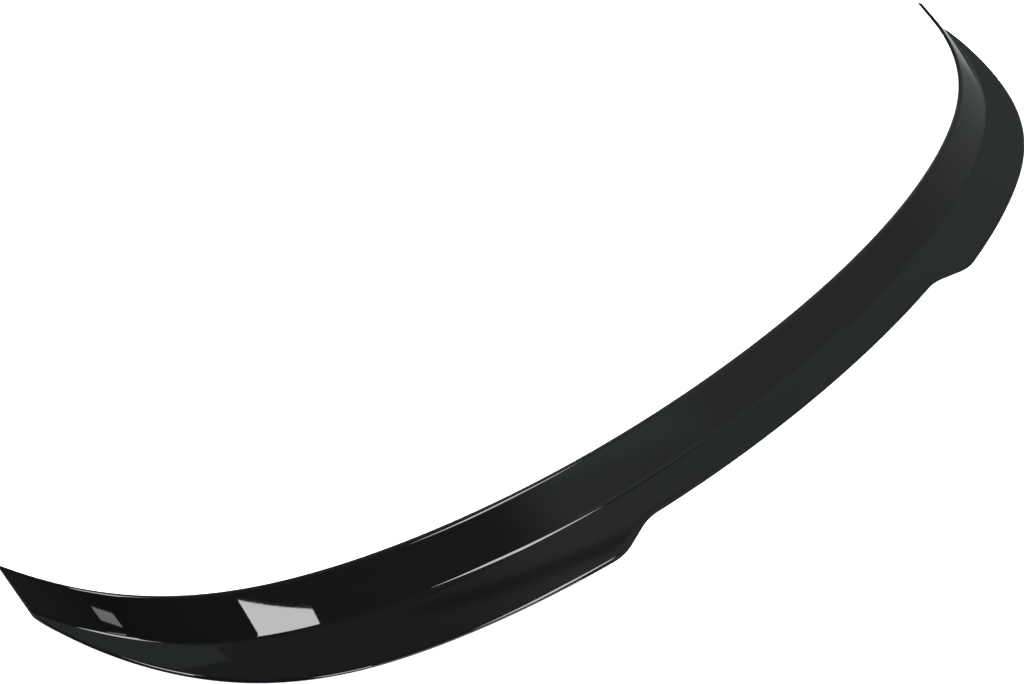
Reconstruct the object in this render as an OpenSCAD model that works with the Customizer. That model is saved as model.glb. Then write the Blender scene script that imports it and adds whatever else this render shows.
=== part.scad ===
// Boot-lid rear spoiler: one moulded plastic blade with an open, ribbed underside.
// X runs across the car, +Y points to the front of the car and +Z is up.
// The blade stands on its rear foot: the foot lies on the plane z = 0, and the front edge,
// a level curve, stands above it. The origin is under the middle of the blade's box.
// A section is drawn in the plane across the blade as [back, up], with back = 0 at the front edge.

/* [Front edge] */
// Width of the blade from end to end
width = 1200; // [900:10:1500]
// How far the ends reach forward in one even bow
bow = 97.5; // [60:0.5:140]
// Extra reach forward as the bow tightens outwards
bow_out = 48.5; // [20:0.5:90]
// Extra reach forward in the hook at each end
hook = 71.5; // [20:0.5:90]
// How far out the end hooks start (higher is later)
hook_power = 12; // [8:1:16]

/* [Lid panel, front edge to crease] */
// Length of the lid panel, front to back
lid_len = 41; // [36:0.5:52]
// Fall of the lid panel towards the back
lid_fall = 22; // [16:0.5:26]
// Angle that opens backwards between the lid panel and the base under it
base_open = 5.5; // [4:0.5:8]
// The same angle at the end cuts
end_open = 1.5; // [0.5:0.5:3]

/* [Tail panel, crease to trailing edge] */
// Length of the tail in the recessed centre
tail_centre = 28.5; // [26:0.5:36]
// Length of the tail on the wings
tail_wing = 47.5; // [42:0.5:60]
// Length of the tail left at the end cuts
tail_end = 1; // [0.5:0.25:3]
// Rise of the tail at the middle of the car
tail_rise = 10; // [4:0.5:14]
// Rise of the tail at the end cuts
tail_rise_end = 4; // [0:0.5:8]
// Half the width of the recess, where the step starts
step_in = 197; // [150:1:230]
// Half the width out to the wing, where the step ends
step_out = 261; // [235:1:300]
// Share of the step that each of its rounded corners takes
step_round = 0.35; // [0.1:0.05:0.5]
// Where the wings begin to taper, as a share of the half width
taper_start = 0.66; // [0.55:0.01:0.85]
// How late the taper turns in (higher is later)
taper_power = 3; // [1.5:0.1:5]

/* [Edges] */
// Thickness of the front edge, square to the lid panel
front_t = 3.8; // [3.6:0.1:5]
// How far the front face leans back
front_lean = 20; // [0:1:25]
// Rounding over the front edge
front_r = 4.5; // [2:0.25:4.5]
// How far the tail panel rolls down at the trailing edge
tail_roll = 34; // [28:1:45]
// Rounding of that roll
tail_r = 5.5; // [3:0.25:5.5]
// Height of the rolled edge, from the panel to its lower corner
tail_face = 2.6; // [2.4:0.1:4]
// Rounding under both edges
under_r = 0.5; // [0.2:0.1:0.5]
// Fillet in the crease
crease_r = 8; // [4:0.5:10]

/* [Underside] */
// Distance from the crease back to the rear foot
foot_back = 20; // [16:0.5:22]
// Thickness of the skin over the pockets
skin = 3; // [2:0.25:3.25]
// Width of the bonding land along the front edge
front_land = 14; // [10:0.5:18]
// Width of the bonding land along the rear foot
rear_land = 8; // [5:0.5:10]
// Solid length of the tail behind the pockets
tail_solid = 10; // [8:0.5:13]
// Thickness of the ribs
rib_t = 2; // [1.5:0.25:4]
// Distance between the cross ribs
rib_pitch = 60; // [40:5:90]
// Solid length of each end, outside the last rib
end_solid = 60; // [50:5:100]

/* [Hidden] */

half_w = width / 2;
// Steps along half the blade: in the recess, over the step and on the wing
mid_n = 10;
step_n = 12;
wing_n = 32;
// Steps around a rounded edge, and around a small one underneath
arc_n = 4;
under_n = 2;
// Longest stretch that a pocket is lofted over, the thickness of its slices,
// and how far the pockets reach below the base, so that they open cleanly
loft_len = 14;
slice_t = 0.01;
cut_over = 1;
// Length of the front face
face_len = front_t / cos(front_lean);
// The most of each edge's face that its rounding takes, at the front, at the tail and underneath
front_share = 0.8;
tail_share = 0.66;
low_share = 0.2;
front_top_r = min(front_r, front_share * face_len / tan(45 - front_lean / 2));
tail_top_r = min(tail_r, tail_share * tail_face / tan(tail_roll / 2));
low_r = min(under_r, low_share * min(face_len, tail_face));
// A tail shorter than this has a smaller edge and roundings
full_tail = tail_r + crease_r / 2;
// How far the rear foot reaches behind the crease at the end cuts
foot_end = tail_end / 2;
colour = [0.03, 0.03, 0.035];

function mix(a, b, k) = a + (b - a) * k;
function share(x) = abs(x) / half_w;
// Unit vectors in the section: along an angle above level, and square to it
function along(a) = [cos(a), sin(a)];
function square_to(a) = [-sin(a), cos(a)];

// Plan of the front edge: how far forward it lies
function edge_y(x) =
    let (s = share(x))
    bow * pow(s, 2) + bow_out * pow(s, 4) + hook * pow(s, hook_power);

// 1 inboard, falling to 0 at the end cuts
function taper(x) =
    let (s = max(0, (share(x) - taper_start) / (1 - taper_start)))
    sqrt(max(0, 1 - pow(s, taper_power)));

// 0 in the recess and 1 on the wing, straight between two rounded corners
function step_up(x) =
    let (s = min(1, max(0, (abs(x) - step_in) / (step_out - step_in))), r = step_round)
    s < r ? s * s / (2 * r * (1 - r))
    : s > 1 - r ? 1 - (1 - s) * (1 - s) / (2 * r * (1 - r))
    : (s - r / 2) / (1 - r);

function tail_len(x) = mix(tail_centre, mix(tail_end, tail_wing, taper(x)), step_up(x));
function tail_angle(x) = mix(tail_rise, tail_rise_end, pow(share(x), 2));
function foot_reach(x) = mix(foot_end, foot_back, taper(x));
function base_angle(x) = -lid_fall - mix(end_open, base_open, taper(x));

// Direction up the front face, and the height of the front edge that puts the foot on z = 0
face_angle = 90 - lid_fall - front_lean;
front_z = face_len * sin(face_angle)
    + (lid_len * cos(lid_fall) + foot_back + face_len * cos(face_angle)) * tan(lid_fall + base_open);

// 1 inboard, less where the tail is too short for its full edge
function edge_share(x) = min(1, tail_len(x) / full_tail);

// Corners of the section, before they are rounded
front = [0, front_z];
front_under = front - face_len * along(face_angle);
crease = front + lid_len * along(-lid_fall);
function tail(x) = crease + tail_len(x) * along(tail_angle(x));
function tail_under(x) = tail(x) + tail_face * edge_share(x) * along(tail_angle(x) - tail_roll);
// A point of the base, so far behind the front edge
function base_at(x, back) =
    [back, front_under[1] + (back - front_under[0]) * tan(base_angle(x))];
function foot(x) = base_at(x, crease[0] + foot_reach(x));
function wall_angle(x) = let (d = foot(x) - tail_under(x)) atan2(d[1], d[0]);

// Arc of radius r that rounds corner p, between a line at angle a and one at angle b
function rounded(p, a, b, r, n) =
    let (turn = b - a, side = sign(turn), start = p - r * tan(abs(turn) / 2) * along(a))
    [for (i = [0 : n]) start + side * r * (square_to(a) - square_to(a + turn * i / n))];

// Outline of the section, up over the front edge and round to the rear foot.
// The tail's edge and roundings shrink with it near the end cuts.
function section(x) =
    let (lid = -lid_fall, rise = tail_angle(x), rolled = rise - tail_roll, k = edge_share(x))
    concat(
        rounded(front_under, base_angle(x) + 180, face_angle, low_r, under_n),
        rounded(front, face_angle, lid, front_top_r, arc_n),
        rounded(crease, lid, rise, crease_r * k, arc_n),
        rounded(tail(x), rise, rolled, tail_top_r * k, arc_n),
        rounded(tail_under(x), rolled, wall_angle(x), low_r * k, under_n),
        [foot(x)]);

// Pocket under the lid panel, between the front land and the crease rib
function lid_pocket(x) =
    let (lid = -lid_fall, rib = lid_len - rib_t / 2, inner = front - skin * square_to(lid),
         over = cut_over * square_to(base_angle(x)),
         a = inner + front_land * along(lid), b = inner + rib * along(lid))
    [base_at(x, a[0]) - over, a, b, base_at(x, b[0]) - over];

// Pocket under the tail panel, between the crease rib and the rear wall
function tail_pocket(x) =
    let (rise = tail_angle(x), wall = wall_angle(x), base = base_angle(x),
         over = cut_over * square_to(base),
         a = crease + rib_t / 2 * along(rise) - skin * square_to(rise),
         b = tail(x) - tail_solid * along(rise) - skin * square_to(rise),
         wall_gap = (foot(x) - b) * square_to(wall) - skin,
         down = max(0, wall_gap / -(square_to(rise) * square_to(wall))),
         land = foot(x) - rear_land * along(base))
    [base_at(x, a[0]) - over, a, b, b - down * square_to(rise), land - over];

// Places where sections are taken, from one end to the other
half_places = concat(
    [for (i = [1 : mid_n]) step_in * i / mid_n],
    [for (i = [1 : step_n]) mix(step_in, step_out, i / step_n)],
    [for (i = [1 : wing_n]) mix(step_out, half_w, 1 - pow(1 - i / wing_n, 2))]);
places = concat([for (i = [len(half_places) - 1 : -1 : 0]) -half_places[i]], [0], half_places);

// Place in the part's frame of a section point: the box of all sections is centred on y = 0
function edge_place(x, p) = edge_y(x) - p[0];
reaches = [for (x = places) for (p = section(x)) edge_place(x, p)];
mid_y = (max(reaches) + min(reaches)) / 2;
function place(x, p) = [x, edge_place(x, p) - mid_y, p[1]];

// The full blade, swept through all its sections. Each quad is cut into two triangles,
// the other way on the left, so that the halves mirror each other.
module solid_blade() {
    n = len(section(0));
    last = len(places) - 1;
    polyhedron(
        points = [for (x = places) for (p = section(x)) place(x, p)],
        faces = concat(
            [[for (j = [0 : n - 1]) j]],
            [for (i = [0 : last - 1]) for (j = [0 : n - 1])
                let (k = (j + 1) % n, a = i * n, b = a + n, left = i < last / 2)
                for (f = left ? [[a + j, b + j, a + k], [b + j, b + k, a + k]]
                              : [[a + j, b + j, b + k], [a + j, b + k, a + k]]) f],
            [[for (j = [n - 1 : -1 : 0]) last * n + j]]));
}

// Thin slice of an outline given in the section plane
module slice(x, outline) {
    translate([x, 0, 0]) rotate([90, 0, 90])
        linear_extrude(slice_t) polygon([for (p = outline) [place(x, p)[1], p[1]]]);
}

// Both pockets of one bay, lofted from x1 to x2
module bay(x1, x2) {
    n = ceil((x2 - x1) / loft_len);
    for (i = [0 : n - 1], tail_side = [false, true]) {
        hull() {
            for (x = [mix(x1, x2, i / n), mix(x1, x2, (i + 1) / n)]) {
                slice(x, tail_side ? tail_pocket(x) : lid_pocket(x));
            }
        }
    }
}

module spoiler_blade() {
    ribbed = half_w - end_solid;
    bays = 2 * round(ribbed / rib_pitch);
    pitch = 2 * ribbed / bays;
    color(colour) difference() {
        solid_blade();
        for (i = [0 : bays - 1]) {
            bay(-ribbed + i * pitch + rib_t / 2, -ribbed + (i + 1) * pitch - rib_t / 2);
        }
    }
}

spoiler_blade();
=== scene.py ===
# %% [markdown]
# A spoiler lip for a boot lid
#
# The object is one gloss-black moulding, 1.2 m wide: a lid panel that falls backwards, a tail panel that
# turns up again, and a hollow, ribbed underside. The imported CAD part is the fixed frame. It is made of
# flat facets, which would break up the long reflections that this finish lives on. So the blade is made
# again here, from the same sizes, as a smooth sweep.

# %% Load the frame
from math import ceil, cos, pi, radians, sin

import bmesh
import bpy
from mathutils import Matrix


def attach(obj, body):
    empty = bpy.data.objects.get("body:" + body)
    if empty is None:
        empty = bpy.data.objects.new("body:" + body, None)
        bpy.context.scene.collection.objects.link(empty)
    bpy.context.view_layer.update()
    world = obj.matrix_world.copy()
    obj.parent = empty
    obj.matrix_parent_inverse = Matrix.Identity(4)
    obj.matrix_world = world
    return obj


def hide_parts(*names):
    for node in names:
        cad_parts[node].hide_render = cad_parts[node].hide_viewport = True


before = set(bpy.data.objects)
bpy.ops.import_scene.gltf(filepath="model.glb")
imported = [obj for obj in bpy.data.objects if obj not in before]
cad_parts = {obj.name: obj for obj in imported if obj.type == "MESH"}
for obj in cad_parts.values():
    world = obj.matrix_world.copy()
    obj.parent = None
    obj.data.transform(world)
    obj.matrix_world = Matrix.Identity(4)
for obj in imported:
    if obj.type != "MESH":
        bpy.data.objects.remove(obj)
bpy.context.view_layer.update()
MM = 0.001

# %% [markdown]
# Camera
#
# The photograph was taken from behind the blade's left end, looking down on it. The focal length and the
# place come from matching the outline: a long, bowed shape shows its perspective clearly. Turning the
# camera by three angles keeps its small roll, which an aim point alone would lose.

# %% Camera
SENSOR = 36.0
FOCAL_PX = 1350.0
PICTURE_PX = 1024.0
CAMERA_PLACE = (-0.7850, -0.4305, 0.8634)
CAMERA_TURNS = (43.285, -6.090, -45.061)

camera_data = bpy.data.cameras.new("camera")
camera_data.sensor_width = SENSOR
camera_data.lens = SENSOR * FOCAL_PX / PICTURE_PX
camera = bpy.data.objects.new("camera", camera_data)
camera.location = CAMERA_PLACE
camera.rotation_euler = [radians(angle) for angle in CAMERA_TURNS]
bpy.context.scene.collection.objects.link(camera)
bpy.context.scene.camera = camera
print("lens", round(camera_data.lens, 2), "mm")

# %% [markdown]
# Sizes of the blade
#
# These are the sizes of the CAD part. Every section of the blade follows from them, so they are also the
# named inputs of the node tree below. They are written in millimetres and degrees, as in the CAD part, and
# turned into the metres and radians that Blender works in.

# %% Sizes
LENGTHS = {
    "width": 1200, "bow": 97.5, "bow_out": 48.5, "hook": 71.5,
    "lid_len": 41, "tail_centre": 28.5, "tail_wing": 47.5, "tail_end": 1,
    "step_in": 197, "step_out": 261,
    "front_t": 3.8, "front_r": 4.5, "tail_face": 2.6, "tail_r": 5.5, "under_r": 0.5, "crease_r": 8,
    "foot_back": 20, "skin": 3, "front_land": 14, "rear_land": 8, "tail_solid": 10, "rib_t": 2,
}
ANGLES = {
    "lid_fall": 22, "base_open": 5.5, "end_open": 1.5, "front_lean": 20,
    "tail_rise": 10, "tail_rise_end": 4, "tail_roll": 34,
}
SHARES = {"hook_power": 12, "step_round": 0.35, "taper_start": 0.66, "taper_power": 3}
sizes = {name: value * MM for name, value in LENGTHS.items()}
sizes |= {name: radians(value) for name, value in ANGLES.items()}
sizes |= SHARES
print(len(sizes), "sizes")

# %% [markdown]
# Writing a rule as nodes
#
# A Math node does one sum, so a rule of fifty sums is hard to read as a list of nodes. `Number` wraps the
# socket that carries a number and lets Python's own signs add the nodes: `a + b * 2` makes two Math nodes
# and links them.

# %% Numbers in a node tree
class Number:
    """A number that flows through a node tree."""

    def __init__(self, tree, socket):
        self.tree = tree
        self.socket = socket

    def math(self, operation, *others):
        node = self.tree.nodes.new("ShaderNodeMath")
        node.operation = operation
        for slot, value in zip(node.inputs, (self, *others)):
            plug(self.tree, value, slot)
        return Number(self.tree, node.outputs[0])

    def __add__(self, other):
        return self.math("ADD", other)

    def __sub__(self, other):
        return self.math("SUBTRACT", other)

    def __mul__(self, other):
        return self.math("MULTIPLY", other)

    def __truediv__(self, other):
        return self.math("DIVIDE", other)

    def __pow__(self, other):
        return self.math("POWER", other)

    def __neg__(self):
        return self * -1

    def __radd__(self, other):
        return self + other

    def __rsub__(self, other):
        return -self + other

    def __rmul__(self, other):
        return self * other


def plug(tree, value, slot):
    """Links a Number or a socket to an input, or sets the input to a plain value."""
    if isinstance(value, Number):
        value = value.socket
    if isinstance(value, bpy.types.NodeSocket):
        tree.links.new(value, slot)
    else:
        slot.default_value = value


def mix(a, b, share):
    return a + (b - a) * share


# %% Points of a section
# A point of a section is a pair: how far back it lies, and how far up.
def ahead(point, angle, length):
    """The point that lies so far along a direction."""
    return point[0] + angle.math("COSINE") * length, point[1] + angle.math("SINE") * length


def beside(point, angle, length):
    """The point that lies so far to the left of a direction."""
    return point[0] - angle.math("SINE") * length, point[1] + angle.math("COSINE") * length


def rounded(corner, before, after, radius, turn):
    """A point on the arc that rounds a corner, at a share `turn` of the way round.
    `before` and `after` are the directions of the two sides. The radius is negative on a right turn."""
    reach = radius * ((after - before) * 0.5).math("TANGENT")
    start = ahead(corner, before, -reach)
    centre = beside(start, before, radius)
    return beside(centre, before + (after - before) * turn, -radius)


def between(a, b, share):
    return mix(a[0], b[0], share), mix(a[1], b[1], share)


# %% [markdown]
# The net of the blade
#
# Curve to Mesh sweeps one fixed section along a path. This section changes on the way: the tail grows and
# shrinks, the base opens, and pockets come and go. Such a sweep can be seen as a flat net that is folded
# into shape. Each column of the net is one place across the car, and each row is one place on the outline
# of the section. Three numbers tell a vertex where it belongs, and a plain grid can carry them as its
# coordinates:
#
# - x: the place across the car
# - y: the running number along the outline. The whole part names a stretch, such as "crease". The
#   fraction says how far along that stretch the vertex lies, from 0 to 0.5.
# - z: 1 where the pockets underneath are open, and 0 where a rib or a solid end closes them
#
# Each side of a rib needs two columns at the same place, one open and one closed. Their outer rows
# coincide and are merged later, and what is left between them is the rib's side.

# %% Rows of the net
UNDER_FRONT, FRONT, LID, CREASE, TAIL, TAIL_EDGE, UNDER_TAIL, FOOT = range(8)
REAR_LAND, WALL, ROOF_REAR, ROOF_FRONT, RIB_REAR, RIB_FRONT, LID_REAR, LID_FRONT, FRONT_LAND = range(8, 17)
STEPS = {UNDER_FRONT: 4, FRONT: 10, LID: 12, CREASE: 14, TAIL: 12, TAIL_EDGE: 10, UNDER_TAIL: 6}

rows = []
for stretch in range(FRONT_LAND + 1):
    steps = STEPS.get(stretch, 0)
    rows += [stretch + 0.5 * i / max(steps, 1) for i in range(steps + 1)]
rows.append(UNDER_FRONT)
print(len(rows), "rows")

# %% Columns of the net
COLUMN_GAP = 3 * MM
END_SOLID = 60 * MM
END_COLUMNS = 26
BAYS = 18
half_width = sizes["width"] / 2
ribbed = half_width - END_SOLID
bay_pitch = 2 * ribbed / BAYS


def spread(start, stop):
    """Places from start to stop, at most one column gap apart."""
    count = ceil((stop - start) / COLUMN_GAP)
    return [start + (stop - start) * i / count for i in range(count + 1)]


end_length = END_SOLID + sizes["rib_t"] / 2
columns = [(-half_width + end_length * (i / END_COLUMNS) ** 2, 0) for i in range(END_COLUMNS)]
for bay in range(BAYS):
    start = -ribbed + bay * bay_pitch + sizes["rib_t"] / 2
    stop = start + bay_pitch - sizes["rib_t"]
    columns.append((start, 0))
    columns += [(x, 1) for x in spread(start, stop)]
    columns.append((stop, 0))
columns += [(-x, 0) for x, _ in reversed(columns[:END_COLUMNS])]
print(len(columns), "columns,", BAYS, "bays")


# %% Make the net
def make_net(name):
    mesh = bpy.data.meshes.new(name)
    points = [(x, row, is_open) for x, is_open in columns for row in rows]
    n = len(rows)
    faces = [
        (c * n + r, c * n + r + 1, (c + 1) * n + r + 1, (c + 1) * n + r)
        for c in range(len(columns) - 1)
        for r in range(n - 1)
    ]
    mesh.from_pydata(points, [], faces)
    net = bpy.data.objects.new(name, mesh)
    bpy.context.scene.collection.objects.link(net)
    return net


blade_net = make_net("blade_net")
print(len(blade_net.data.vertices), "vertices in the net")

# %% [markdown]
# Gloss-black plastic
#
# The show side is polished black plastic. Flat black with a mirror finish would come close, but it looks
# like a drawing: real mouldings are never that even. So the base colour is nearly black with a very slight
# cloudiness, and the low roughness varies a little, as it does on a wiped surface. Two bumps bend the
# reflections by a fraction of a degree: a fine one, the orange peel of a moulded and lacquered skin, and a
# broad one, the slight waviness of a long, thin moulding.
#
# The hidden side is the same plastic as it leaves the mould: satin, with a fine, even grain. All patterns
# follow the object's own coordinates, so they stay where they are when the blade is turned.

# %% Material helpers
def new_material(name):
    material = bpy.data.materials.new(name)
    material.use_nodes = True
    return material, material.node_tree, material.node_tree.nodes["Principled BSDF"]


def noise(tree, wave, detail):
    """Noise with waves of about one length, in metres, fixed to the object."""
    spot = tree.nodes.new("ShaderNodeTexCoord")
    node = tree.nodes.new("ShaderNodeTexNoise")
    node.inputs["Scale"].default_value = 1 / wave
    node.inputs["Detail"].default_value = detail
    tree.links.new(spot.outputs["Object"], node.inputs["Vector"])
    return node.outputs["Fac"]


# Nearly all values of a noise lie in this range
NOISE_RANGE = 0.3, 0.7


def ramp(tree, factor, low, high):
    """Maps the usual range of a noise to a range of numbers."""
    node = tree.nodes.new("ShaderNodeMapRange")
    tree.links.new(factor, node.inputs["Value"])
    node.inputs["From Min"].default_value, node.inputs["From Max"].default_value = NOISE_RANGE
    node.inputs["To Min"].default_value = low
    node.inputs["To Max"].default_value = high
    return node.outputs["Result"]


def cloud(tree, factor, dark, light):
    """Mixes two colours by a noise."""
    node = tree.nodes.new("ShaderNodeMix")
    node.data_type = "RGBA"
    tree.links.new(factor, node.inputs["Factor"])
    node.inputs["A"].default_value = (*dark, 1)
    node.inputs["B"].default_value = (*light, 1)
    return next(s for s in node.outputs if s.type == "RGBA")


def bump(tree, height, depth, below=None):
    """Adds a bump of that depth, in metres, on top of another one."""
    node = tree.nodes.new("ShaderNodeBump")
    node.inputs["Strength"].default_value = 1
    node.inputs["Distance"].default_value = depth
    tree.links.new(height, node.inputs["Height"])
    if below is not None:
        tree.links.new(below, node.inputs["Normal"])
    return node.outputs["Normal"]


# %% Gloss-black show side
MICRON = 1e-6
PLASTIC_IOR = 1.5
GLOSS_COLOURS = (0.0010, 0.0012, 0.0011), (0.0016, 0.0018, 0.0017)
GLOSS_ROUGHNESS = 0.012, 0.030

gloss, tree, shader = new_material("gloss_black")
shader.inputs["IOR"].default_value = PLASTIC_IOR
patches = noise(tree, wave=60 * MM, detail=3)
tree.links.new(cloud(tree, patches, *GLOSS_COLOURS), shader.inputs["Base Color"])
tree.links.new(ramp(tree, patches, *GLOSS_ROUGHNESS), shader.inputs["Roughness"])
waviness = bump(tree, noise(tree, wave=90 * MM, detail=1), depth=60 * MICRON)
peel = bump(tree, noise(tree, wave=3 * MM, detail=2), depth=1.2 * MICRON, below=waviness)
tree.links.new(peel, shader.inputs["Normal"])
print("made", gloss.name)

# %% Satin hidden side
SATIN_COLOURS = (0.010, 0.010, 0.011), (0.016, 0.016, 0.017)
SATIN_ROUGHNESS = 0.38, 0.50

satin, tree, shader = new_material("moulded_black")
shader.inputs["IOR"].default_value = PLASTIC_IOR
grain = noise(tree, wave=0.8 * MM, detail=3)
patches = noise(tree, wave=45 * MM, detail=3)
tree.links.new(cloud(tree, patches, *SATIN_COLOURS), shader.inputs["Base Color"])
tree.links.new(ramp(tree, patches, *SATIN_ROUGHNESS), shader.inputs["Roughness"])
tree.links.new(bump(tree, grain, depth=15 * MICRON), shader.inputs["Normal"])
print("made", satin.name)

# %% [markdown]
# Folding the net
#
# Python could place each vertex by itself. A node tree does the same sums, and its sizes stay named inputs
# that can be changed by hand in Blender, so the rule is written as a tree. It reads a vertex's three
# numbers, works out the section at that place, picks the point that the running number names, and moves
# the vertex there. The rules are those of the CAD part:
#
# - the front edge is an even bow that tightens outwards and ends in a hook
# - the tail is short in the recess and long on the wings, with a slanted step between them
# - towards the ends the tail tapers away like the end of an ellipse

# %% The tree and its inputs
tree = bpy.data.node_groups.new("blade", "GeometryNodeTree")
tree.interface.new_socket("Geometry", in_out="INPUT", socket_type="NodeSocketGeometry")
tree.interface.new_socket("Geometry", in_out="OUTPUT", socket_type="NodeSocketGeometry")
for name in sizes:
    tree.interface.new_socket(name, in_out="INPUT", socket_type="NodeSocketFloat")
given = tree.nodes.new("NodeGroupInput")
size = {name: Number(tree, given.outputs[name]) for name in sizes}


def add(kind, **inputs):
    """Adds a node and plugs its named inputs."""
    node = tree.nodes.new(kind)
    for name, value in inputs.items():
        plug(tree, value, node.inputs[name.replace("_", " ")])
    return node


print(len(size), "inputs")

# %% Where a vertex belongs
here = add("ShaderNodeSeparateXYZ", Vector=tree.nodes.new("GeometryNodeInputPosition").outputs[0])
place, running, is_open = (Number(tree, here.outputs[axis]) for axis in "XYZ")
stretch = running.math("FLOOR")
along = (running - stretch) * 2
share = place.math("ABSOLUTE") / (size["width"] * 0.5)
print(len(tree.nodes), "nodes up to the place of a vertex")

# %% How the section changes across the car
bowed = size["bow"] * share**2 + size["bow_out"] * share**4 + size["hook"] * share ** size["hook_power"]

late = ((share - size["taper_start"]) / (1 - size["taper_start"])).math("MAXIMUM", 0)
taper = (1 - late ** size["taper_power"]).math("MAXIMUM", 0).math("SQRT")

climb = (place.math("ABSOLUTE") - size["step_in"]) / (size["step_out"] - size["step_in"])
climb = climb.math("MAXIMUM", 0).math("MINIMUM", 1)
curve = size["step_round"] * 2 * (1 - size["step_round"])
foot_of_step = climb**2 / curve
top_of_step = 1 - (1 - climb) ** 2 / curve
straight = (climb - size["step_round"] * 0.5) / (1 - size["step_round"])
is_low = climb.math("LESS_THAN", size["step_round"])
is_high = climb.math("GREATER_THAN", 1 - size["step_round"])
step_up = mix(mix(straight, foot_of_step, is_low), top_of_step, is_high)

tail_len = mix(size["tail_centre"], mix(size["tail_end"], size["tail_wing"], taper), step_up)
rise = mix(size["tail_rise"], size["tail_rise_end"], share**2)
base = -size["lid_fall"] - mix(size["end_open"], size["base_open"], taper)
foot_reach = mix(size["tail_end"] * 0.5, size["foot_back"], taper)
full_tail = size["tail_r"] + size["crease_r"] * 0.5
round_share = (tail_len / full_tail).math("MINIMUM", 1)
print(len(tree.nodes), "nodes up to the lengths and angles")

# %% Corners of the section
lid = -size["lid_fall"]
zero = size["width"] * 0
RIGHT = pi / 2
front = (zero, zero)
front_face = lid + RIGHT - size["front_lean"]
front_under = ahead(front, front_face, -size["front_t"] / size["front_lean"].math("COSINE"))
crease = ahead(front, lid, size["lid_len"])
tail = ahead(crease, rise, tail_len)
rolled = rise - size["tail_roll"]
tail_under = ahead(tail, rolled, size["tail_face"] * round_share)


def base_at(back):
    """The point of the base that lies so far behind the front edge."""
    return back, front_under[1] + (back - front_under[0]) * base.math("TANGENT")


foot = base_at(crease[0] + foot_reach)
wall = (foot[1] - tail_under[1]).math("ARCTAN2", foot[0] - tail_under[0])
print(len(tree.nodes), "nodes up to the corners")

# %% Outer points, from under the front edge round to the foot
front_r = size["front_r"]
tail_r = size["tail_r"] * round_share
crease_r = size["crease_r"] * round_share
points = {
    UNDER_FRONT: rounded(front_under, base + pi, front_face, -size["under_r"], along),
    FRONT: rounded(front, front_face, lid, -front_r, along),
    LID: between(
        rounded(front, front_face, lid, -front_r, zero + 1),
        rounded(crease, lid, rise, crease_r, zero),
        along,
    ),
    CREASE: rounded(crease, lid, rise, crease_r, along),
    TAIL: between(
        rounded(crease, lid, rise, crease_r, zero + 1),
        rounded(tail, rise, rolled, -tail_r, zero),
        along,
    ),
    TAIL_EDGE: rounded(tail, rise, rolled, -tail_r, along),
    UNDER_TAIL: rounded(tail_under, rolled, wall, -size["under_r"] * round_share, along),
    FOOT: foot,
}
print(len(points), "outer stretches")

# %% Points of the two pockets underneath
half_rib = size["rib_t"] * 0.5
land = ahead(foot, base, -size["rear_land"])
inner = beside(front, lid, -size["skin"])
lid_front = ahead(inner, lid, size["front_land"])
lid_rear = ahead(inner, lid, size["lid_len"] - half_rib)
roof_front = beside(ahead(crease, rise, half_rib), rise, -size["skin"])
roof_rear = beside(ahead(tail, rise, -size["tail_solid"]), rise, -size["skin"])
wall_gap = (
    (foot[1] - roof_rear[1]) * wall.math("COSINE")
    - (foot[0] - roof_rear[0]) * wall.math("SINE")
    - size["skin"]
)
drop = (-wall_gap / (wall - rise).math("COSINE")).math("MAXIMUM", 0)
points |= {
    REAR_LAND: land,
    WALL: beside(roof_rear, rise, -drop),
    ROOF_REAR: roof_rear,
    ROOF_FRONT: roof_front,
    RIB_REAR: base_at(roof_front[0]),
    RIB_FRONT: base_at(lid_rear[0]),
    LID_REAR: lid_rear,
    LID_FRONT: lid_front,
    FRONT_LAND: base_at(lid_front[0]),
}
print(len(points), "stretches with the pockets")

# %% [markdown]
# An Index Switch takes the whole part of the running number and lets one of the 17 points through. Where
# the pockets are closed, their points drop onto the base instead. The box of the result then gives the
# last move: the blade is centred between front and back, and its foot stands on the floor, as in the CAD
# part.


# %% Pick the point and move the vertex
def pick(values):
    node = tree.nodes.new("GeometryNodeIndexSwitch")
    node.data_type = "FLOAT"
    for _ in range(len(values) - len(node.index_switch_items)):
        node.index_switch_items.new()
    plug(tree, stretch, node.inputs["Index"])
    for slot, value in zip(node.inputs[1:], values):
        plug(tree, value, slot)
    return Number(tree, node.outputs[0])


order = range(FRONT_LAND + 1)
back = pick([points[i][0] for i in order])
up = pick([points[i][1] for i in order])
closed = base_at(back.math("MINIMUM", land[0]))
is_closed = stretch.math("GREATER_THAN", FOOT + 0.5) * (1 - is_open)
back, up = between((back, up), closed, is_closed)
spot = add("ShaderNodeCombineXYZ", X=place, Y=bowed - back, Z=up)

marked = add("GeometryNodeCaptureAttribute", Geometry=given.outputs["Geometry"])
marked.domain = "FACE"
marked.capture_items.new("FLOAT", "running")
plug(tree, running, marked.inputs["running"])
folded = add("GeometryNodeSetPosition", Geometry=marked.outputs["Geometry"], Position=spot.outputs[0])
print(len(tree.nodes), "nodes up to the folded net")

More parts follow.
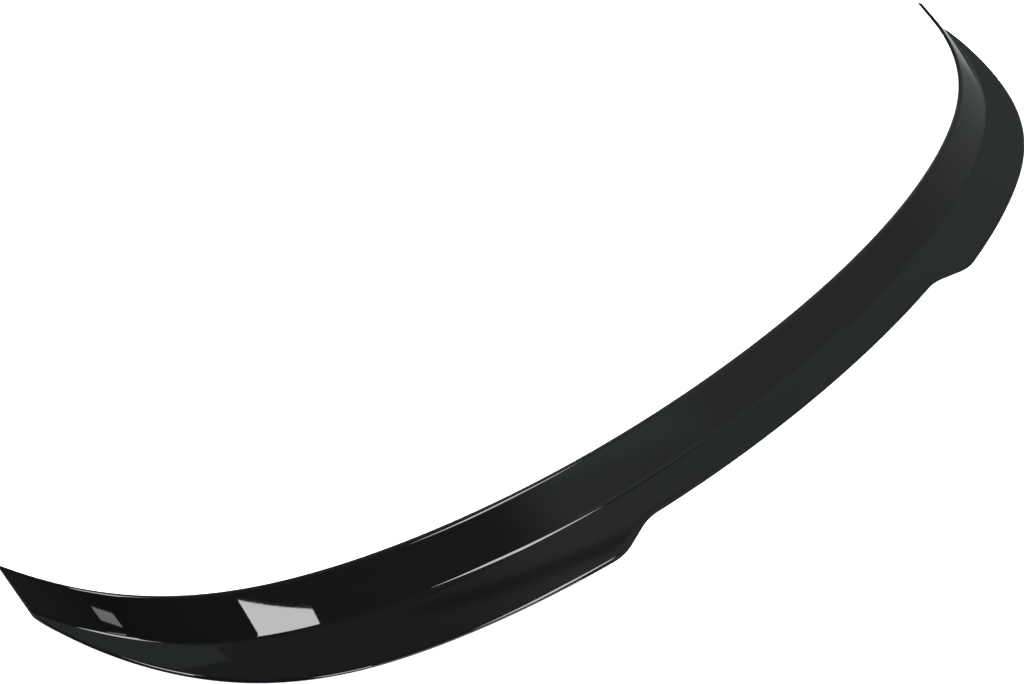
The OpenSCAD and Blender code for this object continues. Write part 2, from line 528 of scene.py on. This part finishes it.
# %% Weld, centre and finish
WELD = 0.004 * MM
box = add("GeometryNodeBoundBox", Geometry=folded.outputs["Geometry"])
low = add("ShaderNodeSeparateXYZ", Vector=box.outputs["Min"])
high = add("ShaderNodeSeparateXYZ", Vector=box.outputs["Max"])
middle = (Number(tree, low.outputs["Y"]) + Number(tree, high.outputs["Y"])) * 0.5
shift = add("ShaderNodeCombineXYZ", Y=-middle, Z=-Number(tree, low.outputs["Z"]))
centred = add("GeometryNodeSetPosition", Geometry=folded.outputs["Geometry"], Offset=shift.outputs[0])
welded = add("GeometryNodeMergeByDistance", Geometry=centred.outputs["Geometry"], Distance=WELD)
real = add("GeometryNodeRealizeInstances", Geometry=welded.outputs["Geometry"])
shown = add("GeometryNodeSetMaterial", Geometry=real.outputs["Geometry"], Material=gloss)
is_hidden = Number(tree, marked.outputs["running"]).math("GREATER_THAN", FOOT)
hidden = add(
    "GeometryNodeSetMaterial", Geometry=shown.outputs["Geometry"], Selection=is_hidden, Material=satin
)
result = tree.nodes.new("NodeGroupOutput")
tree.links.new(hidden.outputs["Geometry"], result.inputs["Geometry"])
print(len(tree.nodes), "nodes in all")


# %% Fold it, and keep the result as a plain mesh
def fold(net, name):
    """Runs the tree on the net and returns the folded mesh as an object of its own."""
    modifier = net.modifiers.new("fold", "NODES")
    modifier.node_group = tree
    for item in tree.interface.items_tree:
        if item.in_out == "INPUT" and item.name in sizes:
            modifier[item.identifier] = float(sizes[item.name])
    seen = net.evaluated_get(bpy.context.evaluated_depsgraph_get())
    mesh = bpy.data.meshes.new_from_object(seen)
    mesh.name = name
    bpy.data.objects.remove(net)
    folded_piece = bpy.data.objects.new(name, mesh)
    bpy.context.scene.collection.objects.link(folded_piece)
    return folded_piece


blade = fold(blade_net, "blade")
print(len(blade.data.vertices), "vertices,", [m.name for m in blade.data.materials])

# %% [markdown]
# The sweep is open at its two ends. The tree could close them too, but a hole is found most easily on the
# finished mesh, by its boundary edges. One face closes each end cut. After that the normals are turned
# outwards, and every edge with a sharp angle is marked, so that the panels shade smoothly and the ribs
# stay crisp.

# %% Close the ends and set the shading
CRISP = radians(38)
CUBIC_CM = 1e-6
mesh = blade.data
shape = bmesh.new()
shape.from_mesh(mesh)
rims = [edge for edge in shape.edges if edge.is_boundary]
caps = bmesh.ops.holes_fill(shape, edges=rims, sides=0)["faces"]
bmesh.ops.recalc_face_normals(shape, faces=shape.faces)
for face in shape.faces:
    face.smooth = True
volume = shape.calc_volume()
open_edges = [edge for edge in shape.edges if not edge.is_manifold]
shape.to_mesh(mesh)
shape.free()
mesh.set_sharp_from_angle(angle=CRISP)
print(len(caps), "end caps,", len(open_edges), "open edges, volume", round(volume / CUBIC_CM, 1), "cm3")

# %% Join it to the frame
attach(blade, "root")
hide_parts("spoiler_blade")
print(blade.name, "rides on root")

# %% [markdown]
# Floor
#
# The blade lies on a plain pale sheet. In a studio that is a paper sweep under strong lamps. Here the sheet
# also glows by itself, which keeps it evenly white up to its far end without a lamp that the blade would
# mirror. A white floor would draw a bright rim along the lower edges of polished plastic, so reflections
# don't see it. From below the sheet is clear, so that the underside of the blade can be looked at.

# %% Floor sheet
FLOOR_SIZE = 200
half = FLOOR_SIZE / 2
floor_mesh = bpy.data.meshes.new("floor")
corners = [(-half, -half, 0), (half, -half, 0), (half, half, 0), (-half, half, 0)]
floor_mesh.from_pydata(corners, [], [(0, 1, 2, 3)])
floor = bpy.data.objects.new("floor", floor_mesh)
bpy.context.scene.collection.objects.link(floor)
floor.visible_glossy = False
print("floor of", FLOOR_SIZE, "m")

# %% Pale finish of the floor
PALE = 0.86
MATT = 0.9
pale, tree, shader = new_material("pale_floor")
shader.inputs["Base Color"].default_value = (PALE, PALE, PALE, 1)
shader.inputs["Roughness"].default_value = MATT
shader.inputs["Emission Color"].default_value = (1, 1, 1, 1)
shader.inputs["Emission Strength"].default_value = 1

side = tree.nodes.new("ShaderNodeNewGeometry")
clear = tree.nodes.new("ShaderNodeBsdfTransparent")
sheet = tree.nodes.new("ShaderNodeMixShader")
tree.links.new(side.outputs["Backfacing"], sheet.inputs["Fac"])
tree.links.new(shader.outputs["BSDF"], sheet.inputs[1])
tree.links.new(clear.outputs["BSDF"], sheet.inputs[2])
tree.links.new(sheet.outputs["Shader"], tree.nodes["Material Output"].inputs["Surface"])
floor_mesh.materials.append(pale)
print("made", pale.name)

# %% [markdown]
# Softboxes
#
# Polished black shows hardly any colour of its own. Its form is read from the lamps that it mirrors. Over a
# flat panel a lamp is seen as a patch of its own outline, and over a rounded edge it is squeezed into a
# thin line. So each highlight is one softbox, 2 m up. It could be moved about until it looks right, but
# the mirror law gives its place at once: follow the view to the highlight, turn it about the surface
# there, and see where it meets the ceiling. The ceiling's own directions are turned a little, so that the
# box of the bright patch lies nearly square to them.
#
# - left: the bright patch on the lid panel
# - strip: the long lines in the crease, along the front edge and along the edge of the left wing
# - rim: the dim light further left along that edge
# - end: the thin lines at the left end
# - small: the small bright shape on the lid panel there
# - faint: the faint patch on the tail panel there
# - overhead: soft light for the floor and the satin side, which reflections don't see


# %% A softbox
def softbox(name, spot, turn, extent, radiance, tint=(1, 1, 1), seen=True):
    """A rectangular light that faces down. Its power follows from its brightness and its area."""
    width, depth = extent
    data = bpy.data.lights.new(name, "AREA")
    data.shape = "RECTANGLE"
    data.size = width
    data.size_y = depth
    data.energy = radiance * pi * width * depth
    data.color = tint
    light = bpy.data.objects.new(name, data)
    light.location = spot
    light.rotation_euler = (0, 0, turn)
    light.visible_glossy = seen
    bpy.context.scene.collection.objects.link(light)
    print(name, round(data.energy, 1), "W")


# %% Softboxes of the ceiling
CEILING = 2.0
TURN = radians(-20.7)
WARM = (1, 0.97, 0.94)
COOL = (0.8, 1, 0.9)


def hang(name, u, v, extent, radiance, turn=0, tint=(1, 1, 1)):
    """Hangs a softbox so far along and across the turned ceiling, turned by some degrees more."""
    x, y = u * cos(TURN) - v * sin(TURN), u * sin(TURN) + v * cos(TURN)
    softbox(name, (x, y, CEILING), TURN + radians(turn), extent, radiance, tint)


hang("softbox_left", -0.351, -1.0015, (0.358, 0.396), radiance=12.5, turn=1.2)
hang("softbox_strip", 0.53, 0.25, (0.262, 1.25), radiance=12.5, turn=-12)
hang("softbox_rim", 0.40, -1.28, (1.15, 0.48), radiance=5, turn=20)
hang("softbox_end", -1.0, 0.15, (0.28, 1.3), radiance=11.5, turn=-33)
hang("softbox_small", -1.955, -1.093, (0.30, 0.045), radiance=3.3, turn=6, tint=WARM)
hang("softbox_faint", -0.18, 1.92, (0.25, 0.56), radiance=0.19, tint=COOL)

# %% Soft light from overhead
OVERHEAD = 3.2
OVERHEAD_SIDE = 5
softbox("overhead", (0, 0, OVERHEAD), 0, (OVERHEAD_SIDE, OVERHEAD_SIDE), radiance=2.2, seen=False)

# %% [markdown]
# Room
#
# Between the lamps the blade mirrors the room. A studio has flats and curtains for that. Here the room is a
# rule that gives each direction its brightness, which needs no geometry and brings no noise. +X is to the
# right, and +Y is to the front of the car.
#
# - The left is dark, with a soft glow at the far left and behind the car.
# - To the right stands a wide, pale wall, graded by height. It is the even grey over the right half of the
#   blade, and its soft edge is the change of tone left of the middle.
# - Three faint shapes lie on the wall: a dark beam, seen as the dark band on the left wing, a paler pane,
#   seen on the lid panel beside it, and a dark gap, seen as the thin dark line in the crease.
#
# Only reflections and soft light come from this room. Past the floor's end and below it the camera itself
# sees plain white.

# %% Directions in the room
world = bpy.data.worlds.new("studio")
bpy.context.scene.world = world
world.use_nodes = True
tree = world.node_tree
nodes = tree.nodes
nodes.clear()
direction = nodes.new("ShaderNodeTexCoord")
parts = nodes.new("ShaderNodeSeparateXYZ")
tree.links.new(direction.outputs["Generated"], parts.inputs[0])
toward_x, toward_y, toward_z = (Number(tree, parts.outputs[axis]) for axis in "XYZ")


def soft_step(value, start, stop):
    """Rises softly from 0 to 1 as the value goes from start to stop."""
    node = nodes.new("ShaderNodeMapRange")
    node.interpolation_type = "SMOOTHSTEP"
    node.inputs["From Min"].default_value = start
    node.inputs["From Max"].default_value = stop
    plug(tree, value, node.inputs["Value"])
    return Number(tree, node.outputs["Result"])


def window(value, low, high, soft):
    """Is 1 between low and high, with soft borders, and 0 elsewhere."""
    return soft_step(value, low - soft, low + soft) * (1 - soft_step(value, high - soft, high + soft))


print(len(nodes), "nodes for the directions")

# %% Pale wall
# Brightness of the wall from low to high, by the upward part of the direction
WALL_GREYS = (
    (-0.20, 0.80), (-0.04, 0.60), (0.03, 0.40), (0.12, 0.44), (0.23, 0.465), (0.34, 0.40),
    (0.45, 0.37), (0.54, 0.30), (0.62, 0.37), (0.72, 0.42), (0.80, 0.51), (0.86, 0.54),
)
WALL_TO_FRONT = 0.24
WALL_EDGE = 0.365, 0.465
WALL_SLANT = 0.15


def on_ramp(height):
    """Maps the upward part of a direction, from -1 to 1, to a place on a ramp, from 0 to 1."""
    return height * 0.5 + 0.5


wall_ramp = nodes.new("ShaderNodeValToRGB")
wall_ramp.color_ramp.interpolation = "B_SPLINE"
plug(tree, on_ramp(toward_z), wall_ramp.inputs["Fac"])
stops = wall_ramp.color_ramp.elements
for height, brightness in WALL_GREYS:
    stop = stops.new(on_ramp(height))
    stop.color = (brightness, brightness, brightness, 1)
stops.remove(stops[0])
stops.remove(stops[len(stops) - 1])
pale_wall = Number(tree, wall_ramp.outputs["Color"]) * (1 + toward_y * WALL_TO_FRONT)
is_wall = soft_step(toward_x - toward_y * WALL_SLANT, *WALL_EDGE)
print(len(stops), "steps of grey on the wall")

# %% Dark side of the room
DARK, DARK_TO_RIGHT, DARK_TO_FRONT, DARKEST = 0.15, 0.13, 0.04, 0.08
LEFT_START, LEFT_GLOW = 0.6, 0.4
BACK_RANGE, BACK_GLOW = (0.42, 0.80), 0.8

dark = (DARK + toward_x * DARK_TO_RIGHT + toward_y * DARK_TO_FRONT).math("MAXIMUM", DARKEST)
dark = dark + (-toward_x - LEFT_START).math("MAXIMUM", 0) * LEFT_GLOW
dark = dark + soft_step(-toward_y, *BACK_RANGE) * BACK_GLOW
room = mix(dark, pale_wall, is_wall)
print(len(nodes), "nodes for the bare room")

# %% Faint shapes on the wall
# The beam lies in a slanted plane through the blade, and these three numbers point square to that plane
ACROSS_BEAM = 0.044, 0.766, -0.641
BEAM_RANGE, BEAM_X, BEAM_DARK = (-0.006, 0.006), (0.45, 0.575), 0.5
PANE_Y, PANE_X, PANE_BRIGHT = (-0.318, -0.04), (0.40, 0.57), 0.22
GAP_Y, GAP_X, GAP_DARK = (0.10, 0.42), (0.47, 0.59), 0.5

across = toward_x * ACROSS_BEAM[0] + toward_y * ACROSS_BEAM[1] + toward_z * ACROSS_BEAM[2]
beam = window(across, *BEAM_RANGE, soft=0.006) * window(toward_x, *BEAM_X, soft=0.02)
pane = window(toward_y, *PANE_Y, soft=0.008) * window(toward_x, *PANE_X, soft=0.03)
gap = window(toward_y, *GAP_Y, soft=0.05) * window(toward_x, *GAP_X, soft=0.03)
room = room * (1 - beam * BEAM_DARK + pane * PANE_BRIGHT - gap * GAP_DARK)
print(len(nodes), "nodes with the faint shapes")

# %% Tint of the room
# The room is a little green. The pane and the front part of the wall are bluer.
RED, GREEN, BLUE = 0.91, 1, 0.985
PANE_BLUE, FRONT_BLUE = 0.06, 0.10
BLUE_EDGE = 0.55, 0.68

blue = BLUE + pane * PANE_BLUE + toward_y * FRONT_BLUE * soft_step(toward_x, *BLUE_EDGE)
colour = nodes.new("ShaderNodeCombineXYZ")
for slot, strength in zip(colour.inputs, (RED, GREEN, blue)):
    plug(tree, room * strength, slot)
print(len(nodes), "nodes with the tint")

# %% What reflections and the camera see
mirrored = nodes.new("ShaderNodeBackground")
tree.links.new(colour.outputs["Vector"], mirrored.inputs["Color"])
plain = nodes.new("ShaderNodeBackground")
plain.inputs["Color"].default_value = (1, 1, 1, 1)
ray = nodes.new("ShaderNodeLightPath")
either = nodes.new("ShaderNodeMixShader")
tree.links.new(ray.outputs["Is Camera Ray"], either.inputs["Fac"])
tree.links.new(mirrored.outputs["Background"], either.inputs[1])
tree.links.new(plain.outputs["Background"], either.inputs[2])
output = nodes.new("ShaderNodeOutputWorld")
tree.links.new(either.outputs["Shader"], output.inputs["Surface"])
bpy.context.scene.view_settings.view_transform = "Standard"
print(len(nodes), "nodes in the room")
